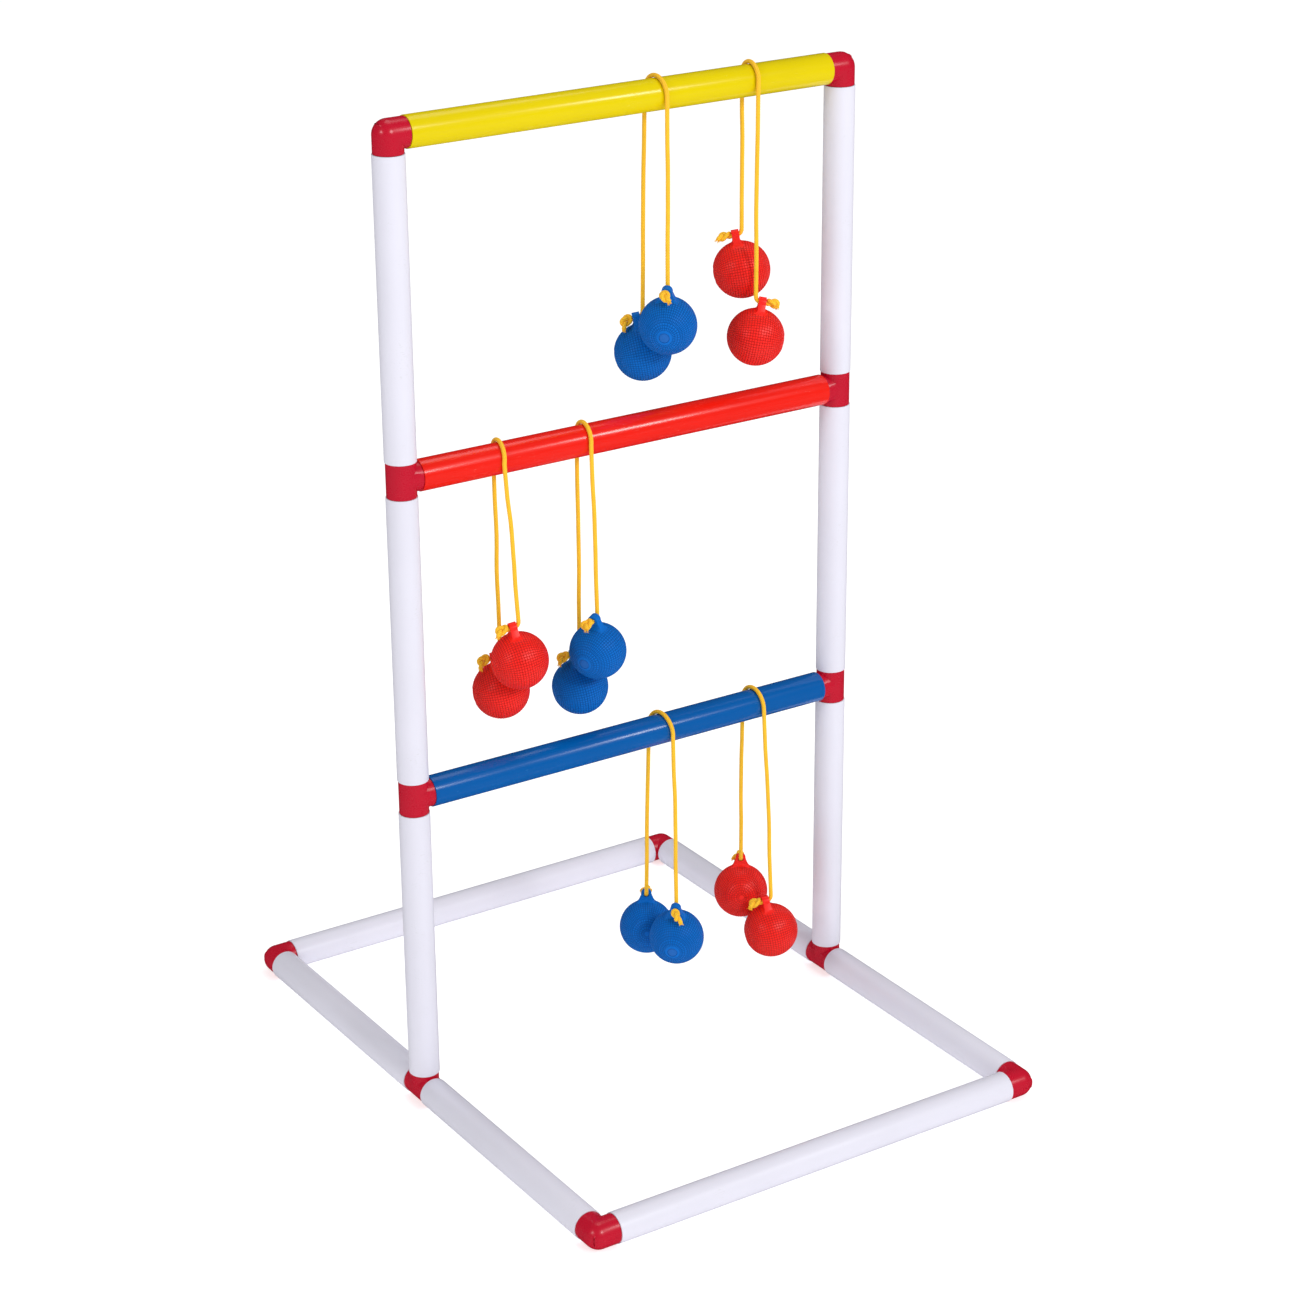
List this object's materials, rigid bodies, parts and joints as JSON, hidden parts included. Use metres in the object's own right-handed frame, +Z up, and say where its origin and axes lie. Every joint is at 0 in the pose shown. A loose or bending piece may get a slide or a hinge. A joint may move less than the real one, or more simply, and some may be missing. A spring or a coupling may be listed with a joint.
{
  "type": "ladder toss set",
  "caption": "A push-fit tube stand with three coloured rungs on a flat rectangular base, with bolas of two balls on a cord hung over the rungs.",
  "frame": {"origin": "on the ground under the middle of the stand", "axes": "X along the rungs, left to right; Y from the front bar of the base to the back bar; Z up"},
  "size_m": [0.5432, 0.7012, 1.032],
  "materials": {
    "white_tube": "extruded white plastic tube with a satin skin",
    "yellow_tube": "extruded yellow plastic tube, glossy",
    "red_tube": "extruded red plastic tube, glossy",
    "blue_tube": "extruded blue plastic tube, glossy",
    "connector": "moulded crimson plastic with a fine parting line",
    "red_ball": "soft red vinyl with rings of small pimples",
    "blue_ball": "soft blue vinyl with rings of small pimples",
    "cord": "braided orange-yellow cord"
  },
  "bodies": {
    "root": {"base_tee_left": "connector", "post_bottom_left": "white_tube", "post_middle_left": "white_tube", "post_top_left": "white_tube", "bottom_tee_left": "connector", "middle_tee_left": "connector", "top_elbow_left": "connector", "base_tee_right": "connector", "post_bottom_right": "white_tube", "post_middle_right": "white_tube", "post_top_right": "white_tube", "bottom_tee_right": "connector", "middle_tee_right": "connector", "top_elbow_right": "connector", "bottom_rung": "blue_tube", "middle_rung": "red_tube", "top_rung": "yellow_tube", "base_bar_front": "white_tube", "base_corner_front_left": "connector", "base_rail_front_left": "white_tube", "base_corner_front_right": "connector", "base_rail_front_right": "white_tube", "base_bar_back": "white_tube", "base_corner_back_left": "connector", "base_rail_back_left": "white_tube", "base_corner_back_right": "connector", "base_rail_back_right": "white_tube"},
    "top_blue_bola": {"top_blue_bola_cord_over_rung": "cord"},
    "top_blue_bola_front": {"top_blue_bola_front_cord": "cord", "top_blue_bola_front_ball": "blue_ball"},
    "top_blue_bola_back": {"top_blue_bola_back_cord": "cord", "top_blue_bola_back_ball": "blue_ball"},
    "top_red_bola": {"top_red_bola_cord_over_rung": "cord"},
    "top_red_bola_front": {"top_red_bola_front_cord": "cord", "top_red_bola_front_ball": "red_ball"},
    "top_red_bola_back": {"top_red_bola_back_cord": "cord", "top_red_bola_back_ball": "red_ball"},
    "middle_red_bola": {"middle_red_bola_cord_over_rung": "cord"},
    "middle_red_bola_front": {"middle_red_bola_front_cord": "cord", "middle_red_bola_front_ball": "red_ball"},
    "middle_red_bola_back": {"middle_red_bola_back_cord": "cord", "middle_red_bola_back_ball": "red_ball"},
    "middle_blue_bola": {"middle_blue_bola_cord_over_rung": "cord"},
    "middle_blue_bola_front": {"middle_blue_bola_front_cord": "cord", "middle_blue_bola_front_ball": "blue_ball"},
    "middle_blue_bola_back": {"middle_blue_bola_back_cord": "cord", "middle_blue_bola_back_ball": "blue_ball"},
    "bottom_blue_bola": {"bottom_blue_bola_cord_over_rung": "cord"},
    "bottom_blue_bola_front": {"bottom_blue_bola_front_cord": "cord", "bottom_blue_bola_front_ball": "blue_ball"},
    "bottom_blue_bola_back": {"bottom_blue_bola_back_cord": "cord", "bottom_blue_bola_back_ball": "blue_ball"},
    "bottom_red_bola": {"bottom_red_bola_cord_over_rung": "cord"},
    "bottom_red_bola_front": {"bottom_red_bola_front_cord": "cord", "bottom_red_bola_front_ball": "red_ball"},
    "bottom_red_bola_back": {"bottom_red_bola_back_cord": "cord", "bottom_red_bola_back_ball": "red_ball"}
  },
  "joints": [
    {"name": "top_blue_bola_slide", "type": "slide", "parent": "root", "child": "top_blue_bola", "axis": [1, 0, 0], "range_m": [-0.235, 0.02]},
    {"name": "top_blue_bola_front_swing", "type": "hinge", "parent": "top_blue_bola", "child": "top_blue_bola_front", "pos_m": [0.037, 0, 1.01161], "axis": [-1, 0, 0], "range_deg": [0, 60], "deforming": ["top_blue_bola_cord_over_rung"]},
    {"name": "top_blue_bola_back_swing", "type": "hinge", "parent": "top_blue_bola", "child": "top_blue_bola_back", "pos_m": [0.037, 0, 1.01161], "axis": [1, 0, 0], "range_deg": [0, 60], "deforming": ["top_blue_bola_cord_over_rung"]},
    {"name": "top_red_bola_slide", "type": "slide", "parent": "root", "child": "top_red_bola", "axis": [1, 0, 0], "range_m": [-0.02, 0.055]},
    {"name": "top_red_bola_front_swing", "type": "hinge", "parent": "top_red_bola", "child": "top_red_bola_front", "pos_m": [0.1473, 0, 1.01161], "axis": [-1, 0, 0], "range_deg": [0, 60], "deforming": ["top_red_bola_cord_over_rung"]},
    {"name": "top_red_bola_back_swing", "type": "hinge", "parent": "top_red_bola", "child": "top_red_bola_back", "pos_m": [0.1473, 0, 1.01161], "axis": [1, 0, 0], "range_deg": [0, 60], "deforming": ["top_red_bola_cord_over_rung"]},
    {"name": "middle_red_bola_slide", "type": "slide", "parent": "root", "child": "middle_red_bola", "axis": [1, 0, 0], "range_m": [-0.06, 0.012]},
    {"name": "middle_red_bola_front_swing", "type": "hinge", "parent": "middle_red_bola", "child": "middle_red_bola_front", "pos_m": [-0.148, 0, 0.67861], "axis": [-1, 0, 0], "range_deg": [0, 60], "deforming": ["middle_red_bola_cord_over_rung"]},
    {"name": "middle_red_bola_back_swing", "type": "hinge", "parent": "middle_red_bola", "child": "middle_red_bola_back", "pos_m": [-0.148, 0, 0.67861], "axis": [1, 0, 0], "range_deg": [0, 60], "deforming": ["middle_red_bola_cord_over_rung"]},
    {"name": "middle_blue_bola_slide", "type": "slide", "parent": "root", "child": "middle_blue_bola", "axis": [1, 0, 0], "range_m": [-0.012, 0.245]},
    {"name": "middle_blue_bola_front_swing", "type": "hinge", "parent": "middle_blue_bola", "child": "middle_blue_bola_front", "pos_m": [-0.0505, 0, 0.67861], "axis": [-1, 0, 0], "range_deg": [0, 60], "deforming": ["middle_blue_bola_cord_over_rung"]},
    {"name": "middle_blue_bola_back_swing", "type": "hinge", "parent": "middle_blue_bola", "child": "middle_blue_bola_back", "pos_m": [-0.0505, 0, 0.67861], "axis": [1, 0, 0], "range_deg": [0, 60], "deforming": ["middle_blue_bola_cord_over_rung"]},
    {"name": "bottom_blue_bola_slide", "type": "slide", "parent": "root", "child": "bottom_blue_bola", "axis": [1, 0, 0], "range_m": [-0.235, 0.02]},
    {"name": "bottom_blue_bola_front_swing", "type": "hinge", "parent": "bottom_blue_bola", "child": "bottom_blue_bola_front", "pos_m": [0.038, 0, 0.3456], "axis": [-1, 0, 0], "range_deg": [0, 60], "deforming": ["bottom_blue_bola_cord_over_rung"]},
    {"name": "bottom_blue_bola_back_swing", "type": "hinge", "parent": "bottom_blue_bola", "child": "bottom_blue_bola_back", "pos_m": [0.038, 0, 0.3456], "axis": [1, 0, 0], "range_deg": [0, 60], "deforming": ["bottom_blue_bola_cord_over_rung"]},
    {"name": "bottom_red_bola_slide", "type": "slide", "parent": "root", "child": "bottom_red_bola", "axis": [1, 0, 0], "range_m": [-0.02, 0.035]},
    {"name": "bottom_red_bola_front_swing", "type": "hinge", "parent": "bottom_red_bola", "child": "bottom_red_bola_front", "pos_m": [0.155, 0, 0.3456], "axis": [-1, 0, 0], "range_deg": [0, 60], "deforming": ["bottom_red_bola_cord_over_rung"]},
    {"name": "bottom_red_bola_back_swing", "type": "hinge", "parent": "bottom_red_bola", "child": "bottom_red_bola_back", "pos_m": [0.155, 0, 0.3456], "axis": [1, 0, 0], "range_deg": [0, 60], "deforming": ["bottom_red_bola_cord_over_rung"]}
  ]
}
